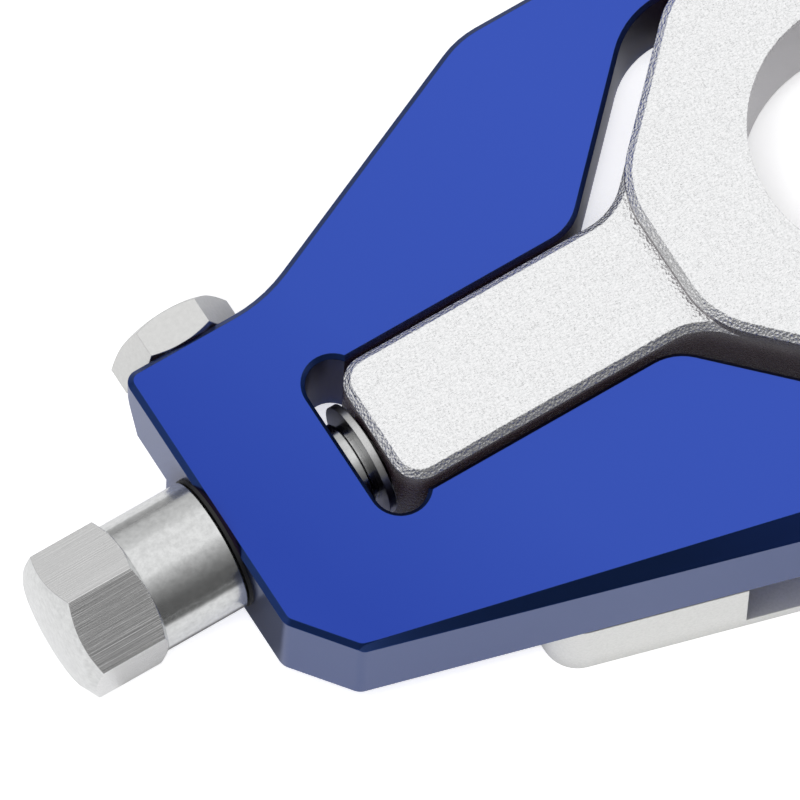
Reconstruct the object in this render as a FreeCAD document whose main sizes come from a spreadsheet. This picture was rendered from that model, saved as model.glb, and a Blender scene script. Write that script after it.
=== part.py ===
import FreeCAD, Part
import os
import re
import Sketcher

# A billet chain adjuster for a motorcycle swingarm: a slotted side plate in
# which an axle carrier is drawn along by a long adjuster screw.
#
# Millimetres. The origin is the centre of the axle bore, on the level of the
# plate's top face. +X runs along the adjuster screw, away from its hex head.
# +Y is the side of the lock screw, and +Z is out of the plate's top face.

SIZES = (
    # side plate, seen from above
    ("plate_thickness", "10.4"),
    ("end_left", "67.7"),             # end face, left of the axle bore
    ("end_wall", "12.5"),             # end face to slot end
    ("end_upper", "15.3"),            # half width towards the lock screw
    ("end_lower", "10.9"),            # half width where the lower corner cut starts
    ("corner_cut_x", "4.3"),
    ("corner_cut_y", "5.5"),
    ("lower_taper", "15.57"),         # degrees
    ("flare_start", "13.9"),          # end face to the upper flare
    ("flare_angle", "23.9"),          # degrees
    ("upper_wall", "6.1"),            # beside the window
    ("lower_wall", "7.55"),
    ("far_wall", "10"),
    ("end_upper_round", "1.2"),
    ("end_lower_round", "1.5"),
    ("flare_root_round", "14"),
    ("flare_top_round", "9"),
    ("taper_top_round", "9"),
    ("far_corner_round", "8"),
    ("plate_top_bevel", "0.5"),
    ("plate_edge_break", "0.2"),
    ("slot_bevel", "0.4"),
    ("slot_relief_round", "2.4"),     # at both corners of the slot's end
    ("slot_relief_inset", "1.35"),    # slot flank to the relief's centre
    ("slot_mouth_round", "5"),
    ("window_round", "7.7"),
    # long bevel that grows along the plate's lower wall
    ("bevel_lead", "1"),
    ("bevel_length", "56.4"),
    ("bevel_near_width", "0.4"),
    ("bevel_near_drop", "0.89"),
    ("bevel_far_width", "2.72"),
    ("bevel_far_drop", "2.17"),
    # relief under the upper end corner
    ("corner_relief_depth", "2.6"),
    ("corner_relief_lean", "2.6"),
    ("corner_relief_lift", "2.2"),
    ("corner_relief_inner", "8"),
    # axle carrier
    ("axle_bore", "25.2"),
    ("arm_width", "12.5"),
    ("arm_rise", "0.95"),             # above the plate
    ("arm_end_gap", "2.75"),          # slot end to arm, carrier drawn fully back
    ("arm_bevel", "0.65"),
    ("arm_end_round", "2.6"),
    ("arm_root_round", "6"),
    ("boss_width", "41.8"),
    ("boss_rise", "2.15"),
    ("boss_flank_upper", "30.6"),     # where each flank would cross the X axis
    ("boss_flank_lower", "30"),
    ("boss_nose", "23.1"),
    ("boss_bevel", "0.65"),
    ("boss_nose_round", "8.5"),
    ("boss_side_round", "7"),
    ("carrier_lift", "0.2"),          # above the plate's underside
    ("slot_side_gap", "0.5"),
    ("window_side_gap", "0.15"),
    ("flank_gap_upper", "4.1"),
    ("flank_gap_lower", "3.2"),
    ("travel_room", "26.4"),          # carrier nose to the window's far end
    # adjuster screw
    ("screw_depth", "5.2"),           # axis, below the plate's top
    ("screw_thread", "8"),
    ("thread_gap", "0.05"),
    ("thread_engaged", "36.4"),
    ("thread_end_gap", "1.5"),
    ("thread_chamfer", "0.8"),
    ("journal", "8"),
    ("journal_gap", "0.1"),
    ("journal_reach", "1.1"),         # past the slot end
    ("journal_chamfer", "0.2"),
    ("barrel", "12"),
    ("barrel_length", "8.05"),
    ("barrel_chamfer", "0.2"),
    ("hex_flats", "12"),
    ("hex_back_land", "0.5"),
    ("hex_side", "6.1"),
    ("hex_turn", "4.3"),              # degrees, a corner from straight up
    ("hex_face_radius", "5.4"),
    ("crown_rise", "0.32"),
    ("washer_outer", "12.2"),
    ("washer_thickness", "0.3"),
    ("washer_bore_gap", "0.15"),
    ("thrust_gap", "0.05"),
    ("ring_outer", "10.4"),
    ("ring_inner", "7"),
    ("ring_thickness", "0.65"),
    ("ring_stand_off", "1.65"),       # slot end to ring
    ("ring_groove_gap", "0.02"),
    ("ring_split", "3"),
    # lock screw, square to the adjuster screw
    ("lock_inset", "6.45"),           # end face to axis
    ("lock_thread", "6"),
    ("lock_thread_gap", "0.05"),
    ("lock_flats", "10"),
    ("lock_head", "3.3"),
    ("lock_head_turn", "5"),          # degrees, as tightened
    ("lock_dog", "4"),
    ("lock_dog_length", "3.5"),
    ("lock_dog_gap", "0.1"),
    ("dog_groove_floor", "6"),
    ("head_chamfer", "0.45"),
    # spacer under the plate, and its screws
    ("spacer_height", "8.6"),
    ("spacer_left", "46.05"),
    ("spacer_upper_left", "8.6"),
    ("spacer_rail", "8"),
    ("spacer_corner_round", "3.2"),
    ("spacer_end_round", "2"),
    ("spacer_edge_break", "0.4"),
    ("channel_left", "30.15"),
    ("channel_depth", "4"),
    ("channel_lip", "1.7"),
    ("channel_round", "1.5"),
    ("cap_thread", "3"),
    ("cap_hole_gap", "0.1"),
    ("cap_head", "5.5"),
    ("cap_length", "13"),
    ("cap_hex", "2"),
    ("cap_hex_depth", "1"),
    ("cap_hole_spare", "1"),
    ("cap_inset_left", "7.05"),
)

# Places that several pieces share, written from the sizes above.
END = "-end_left"
SLOT_END = "(end_wall - end_left)"
ARM_END = "(end_wall - end_left + arm_end_gap)"
SLOT_HALF = "(arm_width / 2 + slot_side_gap)"
WINDOW_HALF = "(boss_width / 2 + window_side_gap)"
FLANK_UPPER = "(boss_flank_upper + flank_gap_upper)"
FLANK_LOWER = "(boss_flank_lower + flank_gap_lower)"
WINDOW_FAR = "(boss_nose + travel_room)"
FAR_END = "(boss_nose + travel_room + far_wall)"
UPPER = "(boss_width / 2 + window_side_gap + upper_wall)"
LOWER = "(boss_width / 2 + window_side_gap + lower_wall)"
CORNER_X = "(corner_cut_x - end_left)"
CORNER_Y = "(end_lower + corner_cut_y)"
TAPER_TAN = "tan(lower_taper * 1deg)"
TAPER_COS = "cos(lower_taper * 1deg)"
TAPER_END = f"({CORNER_X} + ({LOWER} - {CORNER_Y}) / {TAPER_TAN})"
CARRIER_UNDER = "(carrier_lift - plate_thickness)"
LOCK_X = "(lock_inset - end_left)"
SHOULDER = "(-end_left - washer_thickness - thrust_gap)"
HEX_BACK = f"({SHOULDER} - barrel_length)"
THREAD_END = "(end_wall - end_left + arm_end_gap + thread_engaged)"
SPACER_UNDER = "(-plate_thickness - spacer_height)"


def lower_wall_at(x):
    """Distance of the tapered lower wall from the X axis, at a place along X."""
    return f"({CORNER_Y} + ({x} - {CORNER_X}) * {TAPER_TAN})"


CAP_SPOTS = (
    ("(cap_inset_left - spacer_left)",
     f"(spacer_rail / {TAPER_COS} / 2 - {lower_wall_at('(cap_inset_left - spacer_left)')})"),
    (f"({WINDOW_FAR} + far_wall / 2)", f"-({WINDOW_HALF} + lower_wall / 2)"),
    (f"({WINDOW_FAR} + far_wall / 2)", f"({WINDOW_HALF} + upper_wall / 2)"),
    ("(spacer_rail / 2 - spacer_upper_left)", f"({WINDOW_HALF} + upper_wall / 2)"),
)

doc = FreeCAD.newDocument("chain_adjuster")
sheet = doc.addObject("Spreadsheet::Sheet", "sizes")
for row, (alias, value) in enumerate(SIZES, start=1):
    sheet.set(f"A{row}", alias)
    sheet.set(f"B{row}", value)
    sheet.setAlias(f"B{row}", alias)
doc.recompute()


def sized(text):
    """Point each size's name at its cell in the sheet."""
    names = "|".join(sorted((alias for alias, _ in SIZES), key=len, reverse=True))
    return re.sub(rf"\b({names})\b", r"sizes.\1", str(text))


def bind(item, path, text):
    item.setExpression(path, sized(text))


def new_body(name):
    body = doc.addObject("PartDesign::Body", name)
    body.Label = name
    return body


def new_sketch(body, name, role, offset=None):
    """A sketch on one of the body's own planes, moved along its normal by offset."""
    sketch = body.newObject("Sketcher::SketchObject", name)
    plane = next(item for item in body.Origin.OriginFeatures if item.Role == role)
    sketch.AttachmentSupport = (plane, "")
    sketch.MapMode = "FlatFace"
    if offset is not None:
        bind(sketch, ".AttachmentOffset.Base.z", offset)
    return sketch


def value_of(sketch, text):
    return float(sketch.evalExpression(sized(text)))


def hold_point(sketch, curve, end, x, y):
    """Fix one end of a curve at bound distances from the sketch's origin."""
    for kind, text in (("DistanceX", x), ("DistanceY", y)):
        number = sketch.addConstraint(
            Sketcher.Constraint(kind, -1, 1, curve, end, value_of(sketch, text)))
        bind(sketch, f"Constraints[{number}]", text)


def hold_radius(sketch, curve, text):
    number = sketch.addConstraint(Sketcher.Constraint("Radius", curve, value_of(sketch, text)))
    bind(sketch, f"Constraints[{number}]", text)


def add_outline(sketch, corners):
    """A closed outline. Each corner is x, y and, where it is rounded, a radius."""
    first = sketch.GeometryCount
    count = len(corners)
    points = [FreeCAD.Vector(value_of(sketch, c[0]), value_of(sketch, c[1]), 0) for c in corners]
    for i, point in enumerate(points):
        sketch.addGeometry(Part.LineSegment(point, points[(i + 1) % count]), False)
    for i in range(count):
        sketch.addConstraint(
            Sketcher.Constraint("Coincident", first + i, 2, first + (i + 1) % count, 1))
    for i, corner in enumerate(corners):
        hold_point(sketch, first + i, 1, corner[0], corner[1])
    for i, corner in enumerate(corners):
        if len(corner) < 3:
            continue
        before, after = first + (i - 1) % count, first + i
        line_in, line_out = sketch.Geometry[before], sketch.Geometry[after]
        on_in = line_in.EndPoint + (line_in.StartPoint - line_in.EndPoint) * 0.1
        on_out = line_out.StartPoint + (line_out.EndPoint - line_out.StartPoint) * 0.1
        known = sketch.GeometryCount
        sketch.fillet(before, after, on_in, on_out, value_of(sketch, corner[2]), True, True)
        arc = next(n for n in range(known, sketch.GeometryCount)
                   if isinstance(sketch.Geometry[n], Part.ArcOfCircle))
        hold_radius(sketch, arc, corner[2])


def add_circle(sketch, x, y, radius):
    centre = FreeCAD.Vector(value_of(sketch, x), value_of(sketch, y), 0)
    curve = sketch.addGeometry(
        Part.Circle(centre, FreeCAD.Vector(0, 0, 1), value_of(sketch, radius)), False)
    hold_point(sketch, curve, 3, x, y)
    hold_radius(sketch, curve, radius)


def add_hexagon(sketch, across_flats, turn):
    """Six flats about the sketch's origin; turn is the angle of the first corner."""
    corners = []
    for i in range(6):
        reach = f"({across_flats} / 2 / cos(30deg))"
        angle = f"({turn} + {60 * i}) * 1deg"
        corners.append((f"{reach} * cos({angle})", f"{reach} * sin({angle})"))
    add_outline(sketch, corners)


def pad(body, name, sketch, length, down=False):
    feature = body.newObject("PartDesign::Pad", name)
    feature.Profile = sketch
    bind(feature, "Length", length)
    feature.Reversed = down
    doc.recompute()
    return feature


def pocket(body, name, sketch, length, backwards=False):
    """Cut to a length. The volume has to fall, or the cut pointed away from the solid."""
    before = body.Shape.Volume
    feature = body.newObject("PartDesign::Pocket", name)
    feature.Profile = sketch
    bind(feature, "Length", length)
    feature.Reversed = backwards
    doc.recompute()
    if feature.Shape.Volume >= before - 1e-6:
        raise RuntimeError(f"{body.Name}: {name} cuts nothing")
    return feature


def turn(body, name, sketch, axis):
    feature = body.newObject("PartDesign::Revolution", name)
    feature.Profile = sketch
    feature.ReferenceAxis = (sketch, [axis])
    feature.Angle = 360
    doc.recompute()
    return feature


def edge_names(shape, edges):
    return [f"Edge{i}" for i, edge in enumerate(shape.Edges, start=1)
            if any(edge.isSame(other) for other in edges)]


def level_face(shape, height):
    """The largest flat face that lies at one height."""
    flat = [face for face in shape.Faces
            if abs(face.BoundBox.ZMin - height) < 1e-6 and abs(face.BoundBox.ZMax - height) < 1e-6]
    return max(flat, key=lambda face: face.Area)


def break_edges(body, name, base, edges, size, kind="PartDesign::Chamfer"):
    feature = body.newObject(kind, name)
    feature.Base = (base, edge_names(base.Shape, edges))
    bind(feature, "Size" if kind.endswith("Chamfer") else "Radius", size)
    doc.recompute()
    return feature


def number(text):
    """The present value of an expression in the sizes, for picking edges by height."""
    return value_of(probe, text)


def make_plate():
    body = new_body("frame_plate")
    blank = new_sketch(body, "plate_outline", "XY_Plane")
    add_outline(blank, (
        (END, "end_upper", "end_upper_round"),
        (END, "-end_lower", "end_lower_round"),
        (CORNER_X, f"-{CORNER_Y}", "end_lower_round"),
        (TAPER_END, f"-{LOWER}", "taper_top_round"),
        (FAR_END, f"-{LOWER}", "far_corner_round"),
        (FAR_END, UPPER, "far_corner_round"),
        (f"{END} + flare_start + ({UPPER} - end_upper) / tan(flare_angle * 1deg)", UPPER,
         "flare_top_round"),
        (f"{END} + flare_start", "end_upper", "flare_root_round"),
    ))
    pad(body, "plate_blank", blank, "plate_thickness", down=True)

    opening = new_sketch(body, "window_outline", "XY_Plane")
    relief_x = f"({SLOT_END} + slot_relief_round)"
    relief_y = f"({SLOT_HALF} - slot_relief_inset)"
    add_outline(opening, (
        (SLOT_END, relief_y),
        (SLOT_END, f"-{relief_y}"),
        (relief_x, f"-{relief_y}"),
        (relief_x, f"-{SLOT_HALF}"),
        (f"({SLOT_HALF} - {FLANK_LOWER})", f"-{SLOT_HALF}", "slot_mouth_round"),
        (f"({WINDOW_HALF} - {FLANK_LOWER})", f"-{WINDOW_HALF}", "window_round"),
        (WINDOW_FAR, f"-{WINDOW_HALF}", "far_corner_round"),
        (WINDOW_FAR, WINDOW_HALF, "far_corner_round"),
        (f"({WINDOW_HALF} - {FLANK_UPPER})", WINDOW_HALF, "window_round"),
        (f"({SLOT_HALF} - {FLANK_UPPER})", SLOT_HALF, "slot_mouth_round"),
        (relief_x, SLOT_HALF),
        (relief_x, relief_y),
    ))
    pocket(body, "window", opening, "plate_thickness")

    reliefs = new_sketch(body, "slot_corner_reliefs", "XY_Plane")
    add_circle(reliefs, relief_x, relief_y, "slot_relief_round")
    add_circle(reliefs, relief_x, f"-{relief_y}", "slot_relief_round")
    cut = pocket(body, "slot_corners", reliefs, "plate_thickness")

    top = level_face(cut.Shape, 0)
    outer = break_edges(body, "top_bevel", cut, top.OuterWire.Edges, "plate_top_bevel")
    top = level_face(outer.Shape, 0)
    inner_edges = [edge for wire in top.Wires if not wire.isSame(top.OuterWire)
                   for edge in wire.Edges]
    inner = break_edges(body, "slot_edge_bevel", outer, inner_edges, "slot_bevel")
    under = level_face(inner.Shape, number("-plate_thickness"))
    break_edges(body, "underside_edge_break", inner, under.OuterWire.Edges, "plate_edge_break")

    cut_wall_bevel(body)
    cut_corner_relief(body)
    drill_plate(body)
    return body


def cut_wall_bevel(body):
    """The bevel over the lower wall, a loft between a small and a large section."""
    sections = []
    for name, x, width, drop in (
        ("bevel_near", f"({CORNER_X} - bevel_lead)", "bevel_near_width", "bevel_near_drop"),
        ("bevel_far", f"({CORNER_X} - bevel_lead + bevel_length)", "bevel_far_width",
         "bevel_far_drop"),
    ):
        section = new_sketch(body, name, "YZ_Plane", x)
        wall = lower_wall_at(x)
        add_outline(section, (
            (f"{width} - {wall}", "0"),
            (f"{width} - {wall}", drop),
            (f"-{wall} - {width}", drop),
            (f"-{wall} - {width}", f"-{drop}"),
            (f"-{wall}", f"-{drop}"),
        ))
        sections.append(section)
    doc.recompute()
    before = body.Shape.Volume
    loft = body.newObject("PartDesign::SubtractiveLoft", "lower_wall_bevel")
    loft.Profile = sections[0]
    loft.Sections = [sections[1]]
    loft.Ruled = True
    doc.recompute()
    if loft.Shape.Volume >= before:
        raise RuntimeError("the wall bevel cuts nothing")


def cut_corner_relief(body):
    """The leaning cut under the upper end corner, where the swingarm's weld bead runs."""
    section = new_sketch(body, "corner_relief_section", "YZ_Plane", END)
    lift = "(corner_relief_lift - plate_thickness)"
    add_outline(section, (
        ("end_upper + corner_relief_lean", "-plate_top_bevel"),
        ("end_upper", "-plate_top_bevel"),
        ("end_upper - corner_relief_lean", lift),
        ("corner_relief_inner", lift),
        ("corner_relief_inner", "-plate_thickness - corner_relief_lift"),
        ("end_upper + corner_relief_lean", "-plate_thickness - corner_relief_lift"),
    ))
    pocket(body, "corner_relief", section, "corner_relief_depth", backwards=True)


def drill_plate(body):
    """The screw's bore, the lock screw's cross hole and the blind holes underneath."""
    bore = new_sketch(body, "screw_bore_circle", "YZ_Plane", f"{SLOT_END} + arm_end_gap")
    add_circle(bore, "0", "-screw_depth", "journal / 2 + journal_gap")
    pocket(body, "screw_bore", bore, "end_wall + arm_end_gap + arm_end_gap")
    cross = new_sketch(body, "lock_hole_circle", "XZ_Plane")
    add_circle(cross, LOCK_X, "-screw_depth", "lock_thread / 2 + lock_thread_gap")
    pocket(body, "lock_hole", cross, "end_upper + lock_head")
    taps = new_sketch(body, "cap_hole_circles", "XY_Plane", "-plate_thickness")
    for x, y in CAP_SPOTS:
        add_circle(taps, x, y, "cap_thread / 2 + cap_hole_gap / 2")
    pocket(body, "cap_holes", taps, "cap_length - spacer_height + cap_hole_spare", backwards=True)


def make_carrier():
    body = new_body("axle_carrier")
    low = new_sketch(body, "arm_outline", "XY_Plane", CARRIER_UNDER)
    side = "(boss_width / 2)"
    upper_x = f"(boss_flank_upper - {side})"
    lower_x = f"(boss_flank_lower - {side})"
    upper_y = "(boss_flank_upper - boss_nose)"
    lower_y = "(boss_flank_lower - boss_nose)"
    boss_outline = (
        (f"-{lower_x}", f"-{side}", "boss_side_round"),
        (lower_x, f"-{side}", "boss_side_round"),
        ("boss_nose", f"-{lower_y}", "boss_nose_round"),
        ("boss_nose", upper_y, "boss_nose_round"),
        (upper_x, side, "boss_side_round"),
        (f"-{upper_x}", side, "boss_side_round"),
    )
    add_outline(low, boss_outline + (
        ("(arm_width / 2 - boss_flank_upper)", "arm_width / 2", "arm_root_round"),
        (ARM_END, "arm_width / 2", "arm_end_round"),
        (ARM_END, "-arm_width / 2", "arm_end_round"),
        ("(arm_width / 2 - boss_flank_lower)", "-arm_width / 2", "arm_root_round"),
    ))
    arm = pad(body, "arm", low, f"arm_rise - {CARRIER_UNDER}")
    top = level_face(arm.Shape, number("arm_rise"))
    break_edges(body, "arm_top_bevel", arm, top.OuterWire.Edges, "arm_bevel")

    high = new_sketch(body, "boss_outline", "XY_Plane", CARRIER_UNDER)
    add_outline(high, boss_outline + (
        ("-boss_nose", upper_y, "boss_nose_round"),
        ("-boss_nose", f"-{lower_y}", "boss_nose_round"),
    ))
    boss = pad(body, "boss", high, f"boss_rise - {CARRIER_UNDER}")
    top = level_face(boss.Shape, number("boss_rise"))
    break_edges(body, "boss_top_bevel", boss, top.OuterWire.Edges, "boss_bevel")

    axle = new_sketch(body, "axle_circle", "XY_Plane", "boss_rise")
    add_circle(axle, "0", "0", "axle_bore / 2")
    pocket(body, "axle_hole", axle, f"boss_rise - {CARRIER_UNDER}")
    thread = new_sketch(body, "thread_circle", "YZ_Plane", ARM_END)
    add_circle(thread, "0", "-screw_depth", "screw_thread / 2 + thread_gap")
    pocket(body, "thread_hole", thread, "thread_engaged + thread_end_gap", backwards=True)
    return body


def make_adjuster_screw():
    """Turned about its own axis, then milled to a hex. The thread's crests are its full size."""
    body = new_body("adjuster_screw")
    bind(body, ".Placement.Base.z", "-screw_depth")
    profile = new_sketch(body, "turned_profile", "XZ_Plane")
    corner = "(hex_flats / 2 / cos(30deg))"
    back_chamfer = f"({corner} - hex_back_land / tan(30deg))"
    front = f"({HEX_BACK} - hex_back_land - hex_side)"
    face = f"({front} - ({corner} - hex_face_radius) * tan(30deg))"
    journal_end = f"({SLOT_END} + journal_reach)"
    ring_far = f"({SLOT_END} + ring_stand_off + ring_thickness + ring_groove_gap)"
    dog_half = "(lock_dog / 2 + lock_dog_gap)"
    add_outline(profile, (
        (f"{face} - crown_rise", "0"),
        (f"{face} - crown_rise", "hex_face_radius / 4"),
        (face, "hex_face_radius", "hex_face_radius / 4"),
        (front, corner),
        (f"{HEX_BACK} - hex_back_land", corner),
        (HEX_BACK, back_chamfer),
        (HEX_BACK, "barrel / 2"),
        (f"{SHOULDER} - barrel_chamfer", "barrel / 2"),
        (SHOULDER, "barrel / 2 - barrel_chamfer"),
        (SHOULDER, "journal / 2"),
        (f"{LOCK_X} - {dog_half}", "journal / 2"),
        (f"{LOCK_X} - {dog_half}", "dog_groove_floor / 2"),
        (f"{LOCK_X} + {dog_half}", "dog_groove_floor / 2"),
        (f"{LOCK_X} + {dog_half}", "journal / 2"),
        (f"{journal_end} - journal_chamfer", "journal / 2"),
        (journal_end, "journal / 2 - journal_chamfer"),
        (journal_end, "ring_inner / 2"),
        (ring_far, "ring_inner / 2"),
        (ring_far, "screw_thread / 2"),
        (f"{THREAD_END} - thread_chamfer", "screw_thread / 2"),
        (THREAD_END, "screw_thread / 2 - thread_chamfer"),
        (THREAD_END, "0"),
    ))
    turn(body, "turned_blank", profile, "H_Axis")
    flats = new_sketch(body, "hex_flats_outline", "YZ_Plane", HEX_BACK)
    add_hexagon(flats, "hex_flats", "90 + hex_turn")
    add_circle(flats, "0", "0", "hex_flats")
    pocket(body, "milled_flats", flats, f"{HEX_BACK} - {face} + crown_rise")
    return body


def make_ring(name, x, thickness, outer, inner):
    """A flat ring on the screw's axis."""
    body = new_body(name)
    bind(body, ".Placement.Base.z", "-screw_depth")
    section = new_sketch(body, f"{name}_section", "XZ_Plane")
    add_outline(section, (
        (x, inner),
        (x, outer),
        (f"{x} + {thickness}", outer),
        (f"{x} + {thickness}", inner),
    ))
    turn(body, f"{name}_blank", section, "H_Axis")
    return body


def make_washer():
    return make_ring("thrust_washer", "(-end_left - washer_thickness)", "washer_thickness",
                     "washer_outer / 2", "journal / 2 + washer_bore_gap")


def make_snap_ring():
    ring_x = f"({SLOT_END} + ring_stand_off)"
    body = make_ring("snap_ring", ring_x, "ring_thickness", "ring_outer / 2", "ring_inner / 2")
    split = new_sketch(body, "ring_split_outline", "YZ_Plane", f"{ring_x} + ring_thickness")
    add_outline(split, (
        ("-ring_split / 2", "-ring_outer"),
        ("ring_split / 2", "-ring_outer"),
        ("ring_split / 2", "0"),
        ("-ring_split / 2", "0"),
    ))
    pocket(body, "ring_opening", split, "ring_thickness")
    return body


def make_lock_screw():
    """A hex screw whose plain dog sits in the adjuster screw's groove."""
    body = new_body("lock_screw")
    body.Placement.Rotation = FreeCAD.Rotation(FreeCAD.Vector(0, -1, 0), 1)
    bind(body, ".Placement.Rotation.Angle", "lock_head_turn")
    bind(body, ".Placement.Base.x", LOCK_X)
    bind(body, ".Placement.Base.z", "-screw_depth")
    profile = new_sketch(body, "lock_profile", "XY_Plane")
    corner = "(lock_flats / 2 / cos(30deg))"
    chamfer = "(head_chamfer / tan(30deg))"
    tip = "(dog_groove_floor / 2 + lock_dog_gap)"
    add_outline(profile, (
        ("0", tip),
        ("lock_dog / 2", tip),
        ("lock_dog / 2", f"{tip} + lock_dog_length"),
        ("lock_thread / 2", f"{tip} + lock_dog_length + lock_thread / 2 - lock_dog / 2"),
        ("lock_thread / 2", "end_upper"),
        (f"{corner} - {chamfer}", "end_upper"),
        (corner, "end_upper + head_chamfer"),
        (corner, "end_upper + lock_head - head_chamfer"),
        (f"{corner} - {chamfer}", "end_upper + lock_head"),
        ("0", "end_upper + lock_head"),
    ))
    turn(body, "lock_blank", profile, "V_Axis")
    flats = new_sketch(body, "lock_flats_outline", "XZ_Plane", "-end_upper - lock_head")
    add_hexagon(flats, "lock_flats", "0")
    add_circle(flats, "0", "0", "lock_flats")
    pocket(body, "lock_milled_flats", flats, "lock_head", backwards=True)
    return body


def make_spacer():
    """The U-shaped rail that holds the plate off the swingarm."""
    body = new_body("back_spacer")
    rail_out = lower_wall_at("-spacer_left")
    rail_in = f"({rail_out} - spacer_rail / {TAPER_COS})"
    bend = f"({CORNER_X} + ({WINDOW_HALF} + spacer_rail / {TAPER_COS} - {CORNER_Y}) / {TAPER_TAN})"
    outline = new_sketch(body, "rail_outline", "XY_Plane", "-plate_thickness")
    add_outline(outline, (
        ("-spacer_left", f"-{rail_out}", "spacer_corner_round"),
        (TAPER_END, f"-{LOWER}", "taper_top_round"),
        (FAR_END, f"-{LOWER}", "far_corner_round"),
        (FAR_END, UPPER, "far_corner_round"),
        ("-spacer_upper_left", UPPER, "spacer_end_round"),
        ("-spacer_upper_left", WINDOW_HALF, "spacer_end_round"),
        (WINDOW_FAR, WINDOW_HALF, "far_corner_round"),
        (WINDOW_FAR, f"-{WINDOW_HALF}", "far_corner_round"),
        (bend, f"-{WINDOW_HALF}"),
        ("-spacer_left", f"-{rail_in}", "spacer_corner_round"),
    ))
    rail = pad(body, "rail", outline, "spacer_height", down=True)
    under = level_face(rail.Shape, number(SPACER_UNDER))
    break_edges(body, "rail_edge_break", rail, under.OuterWire.Edges, "spacer_edge_break")

    channel = new_sketch(body, "channel_outline", "XY_Plane", "-plate_thickness")
    floor_left = f"({lower_wall_at('-channel_left')} - channel_depth / {TAPER_COS})"
    outside = f"({LOWER} + channel_depth)"
    add_outline(channel, (
        ("-channel_left", f"-{floor_left}", "channel_round"),
        ("-channel_left", f"-{outside}"),
        (WINDOW_FAR, f"-{outside}"),
        (WINDOW_FAR, f"channel_depth - {LOWER}", "channel_round"),
        (f"{TAPER_END} + channel_depth * tan(lower_taper / 2 * 1deg)",
         f"channel_depth - {LOWER}", "taper_top_round - channel_depth"),
    ))
    pocket(body, "side_channel", channel, "spacer_height - channel_lip")

    holes = new_sketch(body, "cap_clearance_circles", "XY_Plane", "-plate_thickness")
    for x, y in CAP_SPOTS:
        add_circle(holes, x, y, "cap_thread / 2 + cap_hole_gap")
    pocket(body, "cap_clearance", holes, "spacer_height")
    for spot, (x, y) in enumerate(CAP_SPOTS):
        sink = new_sketch(body, f"countersink_{spot}", "XY_Plane", SPACER_UNDER)
        add_circle(sink, x, y, "cap_head / 2")
        seat = pocket(body, f"countersink_cut_{spot}", sink, "cap_head / 2 - cap_thread / 2",
                      backwards=True)
        seat.TaperAngle = -45
    return body


def make_spacer_screws():
    """Countersunk socket screws from below, one group of equal screws."""
    screws = []
    for spot, (x, y) in enumerate(CAP_SPOTS):
        body = new_body(f"spacer_screw_{spot}")
        bind(body, ".Placement.Base.x", x)
        bind(body, ".Placement.Base.y", y)
        bind(body, ".Placement.Base.z", SPACER_UNDER)
        profile = new_sketch(body, f"cap_profile_{spot}", "XZ_Plane")
        add_outline(profile, (
            ("0", "0"),
            ("cap_head / 2", "0"),
            ("cap_thread / 2", "cap_head / 2 - cap_thread / 2"),
            ("cap_thread / 2", "cap_length"),
            ("0", "cap_length"),
        ))
        turn(body, f"cap_blank_{spot}", profile, "V_Axis")
        socket = new_sketch(body, f"cap_socket_{spot}", "XY_Plane")
        add_hexagon(socket, "cap_hex", "0")
        pocket(body, f"cap_socket_cut_{spot}", socket, "cap_hex_depth", backwards=True)
        screws.append(body)
    group = doc.addObject("Part::Compound", "spacer_screws")
    group.Label = "spacer_screws"
    group.Links = screws
    return group


probe = doc.addObject("Sketcher::SketchObject", "size_probe")

PIECES = (
    make_plate(),
    make_carrier(),
    make_adjuster_screw(),
    make_washer(),
    make_snap_ring(),
    make_lock_screw(),
    make_spacer(),
    make_spacer_screws(),
)

doc.recompute()
for item in doc.Objects:
    if {"Invalid", "Error"} & set(item.State):
        raise RuntimeError(f"{item.Name} failed: {item.State}")
for piece in PIECES:
    if piece.Shape.isNull() or not piece.Shape.isValid():
        raise RuntimeError(f"{piece.Label} has no valid shape")

os.makedirs("parts", exist_ok=True)
for piece in PIECES:
    piece.Shape.exportStep(f"parts/{piece.Label}.step")
    box = piece.Shape.BoundBox
    print(f"{piece.Label}: {len(piece.Shape.Solids)} solids, {piece.Shape.Volume:.1f} mm3, "
          f"{box.XLength:.2f} x {box.YLength:.2f} x {box.ZLength:.2f} mm")
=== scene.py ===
import math
import bmesh
import bpy
from mathutils import Matrix, Vector


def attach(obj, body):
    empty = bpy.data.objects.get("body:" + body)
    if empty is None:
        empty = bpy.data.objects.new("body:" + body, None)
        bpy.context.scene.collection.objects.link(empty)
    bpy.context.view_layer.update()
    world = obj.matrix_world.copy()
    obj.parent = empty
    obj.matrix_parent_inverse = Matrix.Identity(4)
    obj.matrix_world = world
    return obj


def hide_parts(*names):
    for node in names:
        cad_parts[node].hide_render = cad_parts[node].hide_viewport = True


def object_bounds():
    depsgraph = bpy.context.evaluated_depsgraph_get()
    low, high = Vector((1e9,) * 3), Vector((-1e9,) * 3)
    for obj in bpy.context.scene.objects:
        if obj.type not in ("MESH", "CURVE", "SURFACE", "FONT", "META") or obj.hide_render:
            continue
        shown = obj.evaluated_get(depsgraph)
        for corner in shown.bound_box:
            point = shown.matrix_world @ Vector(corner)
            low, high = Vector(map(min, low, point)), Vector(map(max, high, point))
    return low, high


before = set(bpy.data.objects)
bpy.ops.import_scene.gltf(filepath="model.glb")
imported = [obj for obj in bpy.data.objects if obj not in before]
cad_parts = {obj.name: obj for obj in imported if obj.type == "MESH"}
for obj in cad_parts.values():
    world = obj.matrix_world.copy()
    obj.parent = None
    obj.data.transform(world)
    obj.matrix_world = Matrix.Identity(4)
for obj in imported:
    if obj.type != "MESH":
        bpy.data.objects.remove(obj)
cad_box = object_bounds()

MM = 0.001
TABLE_LEVEL = cad_box[0][2]

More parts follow.
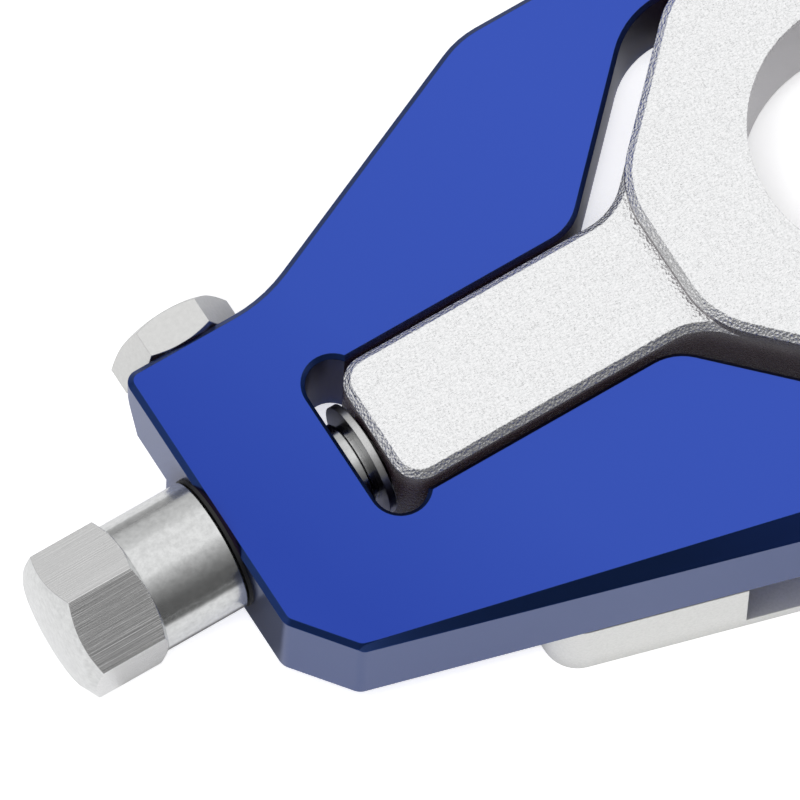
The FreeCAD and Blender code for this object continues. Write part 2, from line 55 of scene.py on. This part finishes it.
# The viewing angle of the photograph, as the picture's right and up directions.
PICTURE_RIGHT = Vector((0.8501, -0.5261, 0.0223))
PICTURE_UP = Vector((0.4819, 0.7944, 0.3696))
PICTURE_CENTRE = Vector((-48.74, 1.21, 0)) * MM
PICTURE_WIDTH = 67.8 * MM
LENS = 900.0
SENSOR = 36.0

# The adjuster screw, in millimetres along the X axis.
SCREW_AXIS = -5.2
HEX_FLATS = 12.0
HEX_BACK = -76.1
HEX_BACK_LAND = 0.5
HEX_SIDE = 6.1
HEX_TURN = 4.3            # degrees, a corner from straight up
HEX_FACE_RADIUS = 5.4
CROWN_RISE = 0.32
BARREL_INTO_HEX = 0.2     # how far the barrel runs on inside the hex
BARREL_RADIUS = 6.0
BARREL_CHAMFER = 0.2
SHOULDER = -68.05
JOURNAL_RADIUS = 4.0
JOURNAL_CHAMFER = 0.2
DOG_GROOVE = (-63.35, -59.15)
DOG_GROOVE_RADIUS = 3.0
JOURNAL_END = -54.1
NECK_RADIUS = 3.5
THREAD_START = -52.88
THREAD_END = -16.05
THREAD_RADIUS = 4.0
THREAD_PITCH = 1.25
THREAD_DEPTH = 0.767
THREAD_CREST = 1 / 16     # of the pitch, from the crest's middle to its edge
THREAD_ROOT = (3 / 8, 5 / 8)  # of the pitch, from the crest's middle to the root's edges
THREAD_RUN_IN = 0.5       # turns in which the thread rises from the neck
THREAD_RUN_OUT = 0.7      # turns in which it fades at the tip
CORE_COVER = 0.01         # how far the core stands above the thread's root, to close it

# How finely the screw is divided.
HEX_SEGMENTS = 192
SHANK_SEGMENTS = 128
THREAD_SEGMENTS = 48
DOME_STEPS = 14
SHARP_EDGE = 24           # degrees, from which an edge stays sharp

# Colours as they look on the object under white light, the darker one of a pair first; some hold
# painted light or shade, as noted.
# The blue's stops are not the dye alone: they hold a painted light gradient, lighter away from the
# screw's end.
BLUE_DYE_AND_PAINTED_LIGHT = ("#2342AA", "#304FB6", "#3553BC")  # from the screw's end to the far end
# The wall colour is the dye darkened with painted shade, for faces that look sideways.
WALL_DYE_AND_PAINTED_SHADE = "#22407F"
BLASTED_SKIN = ("#EBECED", "#FCFCFD")
# The greyer wall colour of the blasted skin is painted shade, for faces that look sideways.
BLASTED_WALL_PAINTED_SHADE = "#C8C6C9"
HEX_STEEL = ("#E4E4E4", "#F0F0F0")
TURNED_STEEL = ("#CDCECE", "#E1E2E2")
THREAD_STEEL = ("#8F9090", "#BEBFBE")
ZINC_PLATE = ("#D4D4D3", "#DCDCDB")
CUT_ALUMINIUM = ("#ECECEA", "#F6F6F4")
SPRING_STEEL = ("#C2C2C2", "#D6D6D6")
NYLON_BLACK = "#0B0B0D"
# The three film colours are painted shade, mixed in where a gap keeps out the light.
PAINTED_SHADE_ON_BLUE = "#302234"
PAINTED_SHADE_ON_BLASTED = "#4A3A42"
PAINTED_SHADE_ON_METAL = "#2E2A2C"
TABLE_WHITE = ("#F4F4F4", "#F8F8F8")
STUDIO_WHITE = "#FFFFFF"
FELT_BLACK = "#060606"

EDGE_ROUND = 0.12         # mm, how far a tumbled or handled edge is rounded
PAINTED_SHADE_REACH = 4.0         # mm, how far out of a gap the painted shade reaches
SIDE_RAYS = 6             # rays that feel for an edge or a gap at each point

# Strengths of light, where 1 is white.
WORLD_ON_PART = 0.6
WORLD_SEEN = 1.0
TABLE_LIFT_SEEN = 0.52
TABLE_LIFT_MIRRORED = 0.07
TABLE_RADIUS = 1.6        # m
TABLE_GAP = 0.02          # mm, between the table and the part


def linear_colour(hex_text):
    """An sRGB hex value as the linear colour that shaders take."""
    channels = [int(hex_text[i:i + 2], 16) / 255 for i in (1, 3, 5)]
    return [c / 12.92 if c <= 0.04045 else ((c + 0.055) / 1.055) ** 2.4 for c in channels] + [1.0]


def features_per_metre(size_mm):
    """A noise scale whose features are about size_mm wide."""
    return 1.0 / (size_mm * MM)


def add_node(tree, kind, settings=None, links=None):
    """Add a node, set its properties or unlinked inputs, and link other nodes' outputs into it."""
    node = tree.nodes.new(kind)
    for key, value in (settings or {}).items():
        if isinstance(key, int) or key in node.inputs:
            node.inputs[key].default_value = value
        else:
            setattr(node, key, value)
    for key, (source, output) in (links or {}).items():
        tree.links.new(source.outputs[output], node.inputs[key])
    return node


def new_material(name):
    """An empty material, its tree, and a node with the piece's own coordinates in metres."""
    material = bpy.data.materials.new(name)
    material.use_nodes = True
    tree = material.node_tree
    tree.nodes.clear()
    place = add_node(tree, "ShaderNodeTexCoord")
    return material, tree, place


def finish_material(tree, shader, output="BSDF"):
    """Show a shader on the surface."""
    add_node(tree, "ShaderNodeOutputMaterial", links={"Surface": (shader, output)})


def set_stops(ramp, stops):
    """Give a colour ramp its (position, colour) stops, from low to high."""
    elements = ramp.color_ramp.elements
    while len(elements) < len(stops):
        elements.new(1.0)
    for element, (position, colour) in zip(elements, stops):
        element.position = position
        element.color = colour


def set_tones(ramp, positions, hex_texts):
    """Spread a finish's written colours over a ramp."""
    set_stops(ramp, [(at, linear_colour(text)) for at, text in zip(positions, hex_texts)])


def openness(tree, shut, wide, least=0.0):
    """From least, deep in a narrow gap, to 1 on an open face: painted shade that darkens recesses.

    shut and wide are the shares of open sky at which the painted shade is full and gone.
    """
    gap = add_node(tree, "ShaderNodeAmbientOcclusion",
                   {"samples": SIDE_RAYS, "Distance": PAINTED_SHADE_REACH * MM})
    return add_node(tree, "ShaderNodeMapRange",
                    {"From Min": shut, "From Max": wide, "To Min": least},
                    {"Value": (gap, "AO")})


def anodised_aluminium():
    """Dyed anodised aluminium, milled and satin: a metal under a clear hard oxide coat.

    The dye colours what the metal reflects; on top of it a painted light gradient leaves it a shade
    deeper at the screw's end. The walls and bevels are painted darker as painted shade, and at
    grazing angles the clear coat turns them blue grey. In narrow gaps painted shade darkens and
    dulls it all.
    """
    material, tree, place = new_material("anodised aluminium")
    cloud = add_node(tree, "ShaderNodeTexNoise",
                     {"Scale": features_per_metre(14), "Detail": 2.0},
                     {"Vector": (place, "Object")})
    # Painted light gradient: the blue lightens from the screw's end towards the far end.
    along = add_node(tree, "ShaderNodeVectorMath",
                     {"operation": "DOT_PRODUCT", 1: (1.0, 0.3, 0.0)}, {0: (place, "Object")})
    painted_light_gradient = add_node(tree, "ShaderNodeMapRange",
                     {"From Min": -66 * MM, "From Max": -18 * MM}, {"Value": (along, "Value")})
    shade = add_node(tree, "ShaderNodeMix", {"data_type": "FLOAT", "Factor": 0.08},
                     {2: (painted_light_gradient, "Result"), 3: (cloud, "Fac")})
    tint = add_node(tree, "ShaderNodeValToRGB", links={"Fac": (shade, 0)})
    set_tones(tint, (0.0, 0.42, 1.0), BLUE_DYE_AND_PAINTED_LIGHT)
    # Painted shade: faces that look sideways take the darker wall colour.
    facing = add_node(tree, "ShaderNodeSeparateXYZ", links={"Vector": (place, "Normal")})
    level = add_node(tree, "ShaderNodeMath", {"operation": "ABSOLUTE"}, {0: (facing, "Z")})
    sideways_shade = add_node(tree, "ShaderNodeMapRange",
                    {"From Min": 0.7, "From Max": 0.85, "To Min": 1.0, "To Max": 0.0},
                    {"Value": (level, "Value")})
    colour = add_node(tree, "ShaderNodeMix", {"data_type": "RGBA", 7: linear_colour(WALL_DYE_AND_PAINTED_SHADE)},
                      {"Factor": (sideways_shade, "Result"), 6: (tint, "Color")})
    # Painted shade in gaps, from the share of open sky.
    open_face = openness(tree, shut=0.25, wide=0.85)
    # Painted shade also dulls the metal in gaps: a light shade leaves it metal, and only a deep one
    # makes it dull.
    metallic_outside_shade = add_node(tree, "ShaderNodeMath", {"operation": "MULTIPLY", "use_clamp": True, 1: 2.5},
                    {0: (open_face, "Result")})
    shaded_in_gaps = add_node(tree, "ShaderNodeMix", {"data_type": "RGBA", 6: linear_colour(PAINTED_SHADE_ON_BLUE)},
                      {"Factor": (open_face, "Result"), 7: (colour, 2)})
    coat = add_node(tree, "ShaderNodeMath", {"operation": "MULTIPLY", 1: 0.3},
                    {0: (open_face, "Result")})
    # The etched grain is about 0.02 mm and is drawn at 0.12 mm to show at all.
    grain = add_node(tree, "ShaderNodeTexNoise",
                     {"Scale": features_per_metre(0.12), "Detail": 3.0, "Roughness": 0.6},
                     {"Vector": (place, "Object")})
    edge = add_node(tree, "ShaderNodeBevel", {"samples": SIDE_RAYS, "Radius": EDGE_ROUND * MM})
    relief = add_node(tree, "ShaderNodeBump", {"Strength": 0.06, "Distance": 0.02 * MM},
                      {"Height": (grain, "Fac"), "Normal": (edge, "Normal")})
    roughness = add_node(tree, "ShaderNodeMapRange", {"To Min": 0.3, "To Max": 0.36},
                         {"Value": (grain, "Fac")})
    shader = add_node(tree, "ShaderNodeBsdfPrincipled",
                      {"Coat Roughness": 0.16, "Coat IOR": 1.5},
                      {"Base Color": (shaded_in_gaps, 2), "Metallic": (metallic_outside_shade, "Value"),
                       "Coat Weight": (coat, "Value"),
                       "Roughness": (roughness, "Result"), "Normal": (relief, "Normal")})
    finish_material(tree, shader)
    return material


def blasted_aluminium():
    """Aluminium blasted with fine glass beads: a bright matt skin of tiny dimples.

    The dimples scatter light almost like paint on the flats and glitter on the bevels, where the
    light comes in low. Walls carry painted shade, a greyer colour than the tops, and more painted
    shade darkens and dulls walls in narrow gaps.
    """
    material, tree, place = new_material("bead blasted aluminium")
    # The dimples are about 0.1 mm wide and are drawn at about 0.25 mm to show.
    dimples = add_node(tree, "ShaderNodeTexNoise",
                       {"Scale": features_per_metre(0.24), "Detail": 3.0, "Roughness": 0.55},
                       {"Vector": (place, "Object")})
    pits = add_node(tree, "ShaderNodeTexVoronoi", {"Scale": features_per_metre(0.26)},
                    {"Vector": (place, "Object")})
    tint = add_node(tree, "ShaderNodeValToRGB", links={"Fac": (dimples, "Fac")})
    set_tones(tint, (0.34, 0.62), BLASTED_SKIN)
    both = add_node(tree, "ShaderNodeMix", {"data_type": "FLOAT", "Factor": 0.5},
                    {2: (dimples, "Fac"), 3: (pits, "Distance")})
    edge = add_node(tree, "ShaderNodeBevel", {"samples": SIDE_RAYS, "Radius": EDGE_ROUND * MM})
    relief = add_node(tree, "ShaderNodeBump", {"Strength": 1.0, "Distance": 0.14 * MM},
                      {"Height": (both, 0), "Normal": (edge, "Normal")})
    facing = add_node(tree, "ShaderNodeSeparateXYZ", links={"Vector": (place, "Normal")})
    # Painted shade in gaps, but never on faces that look up.
    open_face = openness(tree, shut=0.35, wide=0.95)
    upward = add_node(tree, "ShaderNodeMapRange", {"From Min": 0.55, "From Max": 0.95},
                      {"Value": (facing, "Z")})
    outside_painted_shade = add_node(tree, "ShaderNodeMath", {"operation": "MAXIMUM"},
                     {0: (open_face, "Result"), 1: (upward, "Result")})
    # Painted shade: faces that look sideways take the greyer wall colour.
    side = add_node(tree, "ShaderNodeMapRange",
                    {"From Min": 0.3, "From Max": 0.6, "To Min": 1.0, "To Max": 0.0},
                    {"Value": (facing, "Z")})
    skin = add_node(tree, "ShaderNodeMix", {"data_type": "RGBA", 7: linear_colour(BLASTED_WALL_PAINTED_SHADE)},
                    {"Factor": (side, "Result"), 6: (tint, "Color")})
    shaded_in_gaps = add_node(tree, "ShaderNodeMix",
                      {"data_type": "RGBA", 6: linear_colour(PAINTED_SHADE_ON_BLASTED)},
                      {"Factor": (outside_painted_shade, "Value"), 7: (skin, 2)})
    shader = add_node(tree, "ShaderNodeBsdfPrincipled", {"Roughness": 0.26},
                      {"Base Color": (shaded_in_gaps, 2), "Metallic": (outside_painted_shade, "Value"),
                       "Normal": (relief, "Normal")})
    finish_material(tree, shader)
    return material


def brushed_steel():
    """Bright steel with fine lines along the screw, as a ground or drawn hex bar has."""
    material, tree, place = new_material("brushed steel flats")
    # The lines are about 0.02 mm wide and are drawn at 0.09 mm to show.
    width, length = 0.09, 14.0
    stretch = add_node(tree, "ShaderNodeMapping", {"Scale": (width / length, 1.0, 1.0)},
                       {"Vector": (place, "Object")})
    lines = add_node(tree, "ShaderNodeTexNoise",
                     {"Scale": features_per_metre(width), "Detail": 3.0, "Roughness": 0.6},
                     {"Vector": (stretch, "Vector")})
    tint = add_node(tree, "ShaderNodeValToRGB", links={"Fac": (lines, "Fac")})
    set_tones(tint, (0.3, 0.62), HEX_STEEL)
    edge = add_node(tree, "ShaderNodeBevel", {"samples": SIDE_RAYS, "Radius": EDGE_ROUND * MM})
    relief = add_node(tree, "ShaderNodeBump", {"Strength": 0.9, "Distance": 0.04 * MM},
                      {"Height": (lines, "Fac"), "Normal": (edge, "Normal")})
    shader = add_node(tree, "ShaderNodeBsdfPrincipled", {"Metallic": 1.0, "Roughness": 0.26},
                      {"Base Color": (tint, "Color"), "Normal": (relief, "Normal")})
    finish_material(tree, shader)
    return material


def satin_metal(name, tones, grain_mm, strength, roughness):
    """A metal with an even, slightly cloudy satin skin, such as plating or a fine cut.

    strength is that of its relief, and painted shade only darkens it a little in gaps.
    """
    material, tree, place = new_material(name)
    grain = add_node(tree, "ShaderNodeTexNoise",
                     {"Scale": features_per_metre(grain_mm), "Detail": 4.0, "Roughness": 0.6},
                     {"Vector": (place, "Object")})
    tint = add_node(tree, "ShaderNodeValToRGB", links={"Fac": (grain, "Fac")})
    set_tones(tint, (0.3, 0.65), tones)
    edge = add_node(tree, "ShaderNodeBevel", {"samples": SIDE_RAYS, "Radius": EDGE_ROUND * MM})
    relief = add_node(tree, "ShaderNodeBump", {"Strength": strength, "Distance": 0.03 * MM},
                      {"Height": (grain, "Fac"), "Normal": (edge, "Normal")})
    # Painted shade in gaps, a little only.
    open_face = openness(tree, shut=0.35, wide=0.85, least=0.7)
    shaded_in_gaps = add_node(tree, "ShaderNodeMix", {"data_type": "RGBA", 6: linear_colour(PAINTED_SHADE_ON_METAL)},
                      {"Factor": (open_face, "Result"), 7: (tint, "Color")})
    shader = add_node(tree, "ShaderNodeBsdfPrincipled",
                      {"Metallic": 1.0, "Roughness": roughness},
                      {"Base Color": (shaded_in_gaps, 2), "Normal": (relief, "Normal")})
    finish_material(tree, shader)
    return material


def black_nylon():
    """Black nylon, punched from sheet: dull, with a faint moulded mottle."""
    material, tree, place = new_material("black nylon")
    mottle = add_node(tree, "ShaderNodeTexNoise", {"Scale": features_per_metre(0.4)},
                      {"Vector": (place, "Object")})
    relief = add_node(tree, "ShaderNodeBump", {"Strength": 0.15, "Distance": 0.03 * MM},
                      {"Height": (mottle, "Fac")})
    shader = add_node(tree, "ShaderNodeBsdfPrincipled",
                      {"Base Color": linear_colour(NYLON_BLACK), "Roughness": 0.6, "IOR": 1.53},
                      {"Normal": (relief, "Normal")})
    finish_material(tree, shader)
    return material


def paint_node(name, material):
    """Give a CAD node its material."""
    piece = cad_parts[name]
    piece.data.materials.clear()
    piece.data.materials.append(material)


def add_turned(mesh, profile, segments, material_index=0):
    """Revolve a profile of (x, radius) pairs, in millimetres, about the screw's axis."""
    rings = []
    for x, radius in profile:
        if radius == 0:
            rings.append([mesh.verts.new((x, 0, 0))])
            continue
        ring = []
        for i in range(segments):
            angle = 2 * math.pi * i / segments
            ring.append(mesh.verts.new((x, radius * math.cos(angle), radius * math.sin(angle))))
        rings.append(ring)
    for near, far in zip(rings, rings[1:]):
        for i in range(segments):
            j = (i + 1) % segments
            # At the axis a ring is one point, and the face has three corners.
            corners = (near[i % len(near)], near[j % len(near)],
                       far[j % len(far)], far[i % len(far)])
            face = mesh.faces.new(list(dict.fromkeys(corners)))
            face.material_index = material_index


def cut_six_flats(mesh, across_flats):
    """Mill six flats on a turned blank, with corners that point almost straight up and down."""
    for i in range(6):
        angle = math.radians(60 * i + HEX_TURN)
        normal = Vector((0, math.cos(angle), math.sin(angle)))
        everything = mesh.verts[:] + mesh.edges[:] + mesh.faces[:]
        cut = bmesh.ops.bisect_plane(mesh, geom=everything, plane_co=normal * across_flats / 2,
                                     plane_no=normal, clear_outer=True)
        rim = [item for item in cut["geom_cut"] if isinstance(item, bmesh.types.BMEdge)]
        bmesh.ops.edgeloop_fill(mesh, edges=rim)


def thread_point(turns, height, radius):
    """A point of the right-hand thread: a number of turns along, and a height in its pitch."""
    x = THREAD_START + (turns + height) * THREAD_PITCH
    angle = 2 * math.pi * turns
    run_in = (x - THREAD_START) / THREAD_PITCH
    run_out = (THREAD_END - x) / THREAD_PITCH
    root = THREAD_RADIUS - THREAD_DEPTH
    grown = max(0.0, min(1.0, run_in / THREAD_RUN_IN, run_out / THREAD_RUN_OUT))
    limit = root + THREAD_DEPTH * grown
    reach = min(radius, limit)
    return x, reach * math.cos(angle), reach * math.sin(angle)


def add_thread(mesh, segments):
    """The M8 thread as one helical strip of crest, flank and root, joined by the other flank."""
    root = THREAD_RADIUS - THREAD_DEPTH
    section = ((-THREAD_CREST, THREAD_RADIUS), (THREAD_CREST, THREAD_RADIUS),
               (THREAD_ROOT[0], root), (THREAD_ROOT[1], root))
    turns = (THREAD_END - THREAD_START) / THREAD_PITCH - 1
    steps = int(turns * segments)
    strips = []
    for i in range(steps + segments + 1):
        strips.append([mesh.verts.new(thread_point(i / segments, height, radius))
                       for height, radius in section])
    for i in range(steps + segments):
        here, ahead = strips[i], strips[i + 1]
        for k in range(3):
            mesh.faces.new((here[k], ahead[k], ahead[k + 1], here[k + 1]))
        if i + 1 + segments < len(strips):
            later, later_ahead = strips[i + segments], strips[i + 1 + segments]
            mesh.faces.new((here[3], ahead[3], later_ahead[0], later[0]))


def add_hex_head(mesh):
    """The hex with its domed face and chamfered corners; its flats are material 0, the rest 1."""
    corner = HEX_FLATS / 2 / math.cos(math.radians(30))
    slope = math.tan(math.radians(30))
    front = HEX_BACK - HEX_BACK_LAND - HEX_SIDE
    rim = front - (corner - HEX_FACE_RADIUS) * slope
    dome_radius = (HEX_FACE_RADIUS ** 2 + CROWN_RISE ** 2) / (2 * CROWN_RISE)
    profile = []
    for i in range(DOME_STEPS + 1):
        radius = HEX_FACE_RADIUS * i / DOME_STEPS
        drop = dome_radius - math.sqrt(dome_radius ** 2 - radius ** 2)
        profile.append((rim - CROWN_RISE + drop, radius))
    profile += [
        (front, corner),
        (HEX_BACK - HEX_BACK_LAND, corner),
        (HEX_BACK, corner - HEX_BACK_LAND / slope),
        (HEX_BACK, 0),
    ]
    add_turned(mesh, profile, HEX_SEGMENTS)
    cut_six_flats(mesh, HEX_FLATS)
    bmesh.ops.recalc_face_normals(mesh, faces=mesh.faces[:])
    for face in mesh.faces:
        # Of the faces that look straight out from the axis only the flats have many corners.
        is_flat = abs(face.normal.x) < 0.05 and len(face.verts) > 4
        face.material_index = 0 if is_flat else 1


def make_adjuster_screw(flat_steel, turned_steel, thread_steel):
    """The adjuster screw with its milled hex, turned barrel and cut thread."""
    shank = bmesh.new()
    add_hex_head(shank)
    core = THREAD_RADIUS - THREAD_DEPTH + CORE_COVER
    add_turned(shank, (
        (HEX_BACK - BARREL_INTO_HEX, 0),
        (HEX_BACK - BARREL_INTO_HEX, BARREL_RADIUS),
        (SHOULDER - BARREL_CHAMFER, BARREL_RADIUS),
        (SHOULDER, BARREL_RADIUS - BARREL_CHAMFER),
        (SHOULDER, JOURNAL_RADIUS),
        (DOG_GROOVE[0], JOURNAL_RADIUS),
        (DOG_GROOVE[0], DOG_GROOVE_RADIUS),
        (DOG_GROOVE[1], DOG_GROOVE_RADIUS),
        (DOG_GROOVE[1], JOURNAL_RADIUS),
        (JOURNAL_END - JOURNAL_CHAMFER, JOURNAL_RADIUS),
        (JOURNAL_END, JOURNAL_RADIUS - JOURNAL_CHAMFER),
        (JOURNAL_END, NECK_RADIUS),
        (THREAD_START, NECK_RADIUS),
        (THREAD_START, core),
        (THREAD_END, core),
        (THREAD_END, 0),
    ), SHANK_SEGMENTS, material_index=1)
    turned = set(shank.faces)
    add_thread(shank, THREAD_SEGMENTS)
    for face in shank.faces:
        if face not in turned:
            face.material_index = 2
    bmesh.ops.translate(shank, verts=shank.verts[:], vec=(0, 0, SCREW_AXIS))
    bmesh.ops.scale(shank, verts=shank.verts[:], vec=(MM, MM, MM))
    bmesh.ops.recalc_face_normals(shank, faces=shank.faces[:])
    mesh = bpy.data.meshes.new("adjuster_screw_dressed")
    shank.to_mesh(mesh)
    shank.free()
    mesh.shade_smooth()
    mesh.set_sharp_from_angle(angle=math.radians(SHARP_EDGE))
    for material in (flat_steel, turned_steel, thread_steel):
        mesh.materials.append(material)
    screw = bpy.data.objects.new("adjuster_screw_dressed", mesh)
    bpy.context.scene.collection.objects.link(screw)
    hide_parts("adjuster_screw")
    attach(screw, "screw")


def make_floor():
    """A pale plain table top that the part lies on, lifted to white for the camera."""
    material, tree, place = new_material("white table")
    paper = add_node(tree, "ShaderNodeTexNoise", {"Scale": features_per_metre(6)},
                     {"Vector": (place, "Object")})
    tint = add_node(tree, "ShaderNodeValToRGB", links={"Fac": (paper, "Fac")})
    set_tones(tint, (0.0, 1.0), TABLE_WHITE)
    surface = add_node(tree, "ShaderNodeBsdfDiffuse", links={"Color": (tint, "Color")})
    path = add_node(tree, "ShaderNodeLightPath")
    mirrored = add_node(tree, "ShaderNodeMath", {"operation": "MAXIMUM"},
                        {0: (path, "Is Transmission Ray"), 1: (path, "Is Glossy Ray")})
    mirror_lift = add_node(tree, "ShaderNodeMath",
                           {"operation": "MULTIPLY", 1: TABLE_LIFT_MIRRORED},
                           {0: (mirrored, "Value")})
    lift = add_node(tree, "ShaderNodeMath", {"operation": "MULTIPLY_ADD", 1: TABLE_LIFT_SEEN},
                    {0: (path, "Is Camera Ray"), 2: (mirror_lift, "Value")})
    glow = add_node(tree, "ShaderNodeEmission", {"Color": linear_colour(STUDIO_WHITE)},
                    {"Strength": (lift, "Value")})
    both = add_node(tree, "ShaderNodeAddShader",
                    links={0: (surface, "BSDF"), 1: (glow, "Emission")})
    finish_material(tree, both, "Shader")
    bpy.ops.mesh.primitive_circle_add(vertices=96, radius=TABLE_RADIUS, fill_type="NGON",
                                      location=(0, 0, TABLE_LEVEL - TABLE_GAP * MM))
    floor = bpy.context.object
    floor.name = "table"
    floor.data.materials.append(material)


def make_world():
    """White to the camera and in reflections, and a plain even light otherwise."""
    world = bpy.data.worlds.new("white studio")
    bpy.context.scene.world = world
    world.use_nodes = True
    tree = world.node_tree
    tree.nodes.clear()
    path = add_node(tree, "ShaderNodeLightPath")
    seen = add_node(tree, "ShaderNodeMath", {"operation": "MAXIMUM"},
                    {0: (path, "Is Camera Ray"), 1: (path, "Is Glossy Ray")})
    seen = add_node(tree, "ShaderNodeMath", {"operation": "MAXIMUM"},
                    {0: (seen, "Value"), 1: (path, "Is Transmission Ray")})
    strength = add_node(tree, "ShaderNodeMapRange",
                        {"To Min": WORLD_ON_PART, "To Max": WORLD_SEEN},
                        {"Value": (seen, "Value")})
    light = add_node(tree, "ShaderNodeBackground", {"Color": linear_colour(STUDIO_WHITE)},
                     {"Strength": (strength, "Result")})
    add_node(tree, "ShaderNodeOutputWorld", links={"Surface": (light, "Background")})


def aim(item, target):
    """Point an object's -Z axis at a place."""
    item.rotation_euler = (Vector(target) - item.location).to_track_quat("-Z", "Y").to_euler()


def add_softbox(name, spot, size, watts):
    """A soft light of a given width and height that looks at the part, unseen in its metal."""
    lamp = bpy.data.lights.new(name, "AREA")
    lamp.shape = "RECTANGLE"
    lamp.size, lamp.size_y = size
    lamp.energy = watts
    item = bpy.data.objects.new(name, lamp)
    item.location = spot
    item.visible_glossy = False
    bpy.context.scene.collection.objects.link(item)
    aim(item, PICTURE_CENTRE)


def card_black(name, fade):
    """Black felt that thins out upwards; fade lists (height share, cover) pairs."""
    material, tree, place = new_material(name)
    height = add_node(tree, "ShaderNodeSeparateXYZ", links={"Vector": (place, "Generated")})
    cover = add_node(tree, "ShaderNodeValToRGB", links={"Fac": (height, "Y")})
    set_stops(cover, [(share, (amount, amount, amount, 1.0)) for share, amount in fade])
    felt = add_node(tree, "ShaderNodeBsdfDiffuse", {"Color": linear_colour(FELT_BLACK)})
    clear = add_node(tree, "ShaderNodeBsdfTransparent")
    both = add_node(tree, "ShaderNodeMixShader",
                    links={"Fac": (cover, "Color"), 1: (clear, "BSDF"), 2: (felt, "BSDF")})
    finish_material(tree, both, "Shader")
    return material


def add_black_card(name, centre, size, lean, turn, fade):
    """A card that only reflections see, for the dark edges of a studio shot.

    It lies flat at a lean of 0 and stands upright at 90; fade runs up its second side.
    """
    mesh = bmesh.new()
    bmesh.ops.create_grid(mesh, x_segments=1, y_segments=1, size=0.5)
    data = bpy.data.meshes.new(name)
    mesh.to_mesh(data)
    mesh.free()
    data.materials.append(card_black(name, fade))
    card = bpy.data.objects.new(name, data)
    card.location = centre
    card.scale = (size[0], size[1], 1)
    card.rotation_euler = (math.radians(lean), 0, math.radians(turn))
    bpy.context.scene.collection.objects.link(card)
    card.visible_camera = False
    card.visible_diffuse = False
    card.visible_shadow = False


def make_camera():
    """A long lens at the photograph's viewing angle."""
    right = PICTURE_RIGHT.normalized()
    up = (PICTURE_UP - right * PICTURE_UP.dot(right)).normalized()
    back = right.cross(up)
    lens = bpy.data.cameras.new("studio camera")
    lens.lens = LENS
    lens.sensor_width = SENSOR
    lens.clip_start = 0.05
    lens.clip_end = 20
    camera = bpy.data.objects.new("studio camera", lens)
    distance = PICTURE_WIDTH * LENS / SENSOR
    turn = Matrix((right, up, back)).transposed().to_4x4()
    camera.matrix_world = Matrix.Translation(PICTURE_CENTRE + back * distance) @ turn
    bpy.context.scene.collection.objects.link(camera)
    bpy.context.scene.camera = camera


plate_finish = anodised_aluminium()
carrier_finish = blasted_aluminium()
hex_finish = brushed_steel()
barrel_finish = satin_metal("turned steel", TURNED_STEEL,
                            grain_mm=0.5, strength=0.09, roughness=0.17)
thread_finish = satin_metal("cut thread steel", THREAD_STEEL,
                            grain_mm=0.25, strength=0.2, roughness=0.3)
plated_finish = satin_metal("zinc plated steel", ZINC_PLATE,
                            grain_mm=0.4, strength=0.04, roughness=0.28)
spacer_finish = satin_metal("fine cut aluminium", CUT_ALUMINIUM,
                            grain_mm=0.25, strength=0.06, roughness=0.55)
ring_finish = satin_metal("bright spring steel", SPRING_STEEL,
                          grain_mm=0.15, strength=0.1, roughness=0.3)
nylon_finish = black_nylon()

paint_node("frame_plate", plate_finish)
paint_node("axle_carrier", carrier_finish)
paint_node("thrust_washer", nylon_finish)
paint_node("snap_ring", ring_finish)
paint_node("lock_screw", plated_finish)
paint_node("back_spacer", spacer_finish)
paint_node("spacer_screws", barrel_finish)
make_adjuster_screw(hex_finish, barrel_finish, thread_finish)

make_floor()
make_world()
add_softbox("key softbox", spot=(-0.34, -0.31, 1.1), size=(0.25, 0.25), watts=6.0)

# Dark parts of the studio that the metal mirrors: the near, left and far ones in what leans their
# way, and the table card in the long bevel. The barrel shadow card, seen in the barrel's underside,
# is a painted shadow: black felt on the table just under the barrel.
# Each has a centre, a size, a lean and a turn in degrees, and a fade.
add_black_card("near card", (-0.05, -0.45, TABLE_LEVEL + 1.1), (3.0, 2.2), 90, 0,
               ((0.0, 0.88), (0.1, 0.86), (0.22, 0.68), (0.35, 0.5), (0.63, 0.25), (1.0, 0.0)))
add_black_card("left card", (-0.6, 0.12, TABLE_LEVEL + 0.25), (0.9, 0.5), 90, 90,
               ((0.0, 0.6), (0.5, 0.5), (1.0, 0.0)))
add_black_card("far strip", (0, 0.055, TABLE_LEVEL + 0.011), (0.6, 0.022), 90, 0,
               ((0.0, 0.4), (0.6, 0.6), (1.0, 0.0)))
add_black_card("far card", (0, 0.5, TABLE_LEVEL + 0.3), (2.4, 0.6), 90, 0,
               ((0.0, 0.6), (0.1, 0.5), (0.2, 0.35), (0.6, 0.27), (0.9, 0.13), (1.0, 0.0)))
add_black_card("table card", (-0.075, -0.251, TABLE_LEVEL + 0.001), (0.15, 0.398), 0, 0,
               ((0.0, 0.85), (0.95, 0.85), (1.0, 0.0)))
# A painted shadow: black felt under the barrel where its shade falls on the table, seen only in
# reflections.
add_black_card("barrel shadow card", (-0.0725, -0.003, TABLE_LEVEL + 0.001), (0.013, 0.013), 0, 0,
               ((0.0, 0.0), (0.2, 0.75), (0.8, 0.75), (1.0, 0.0)))
make_camera()
bpy.context.scene.view_settings.view_transform = "Standard"
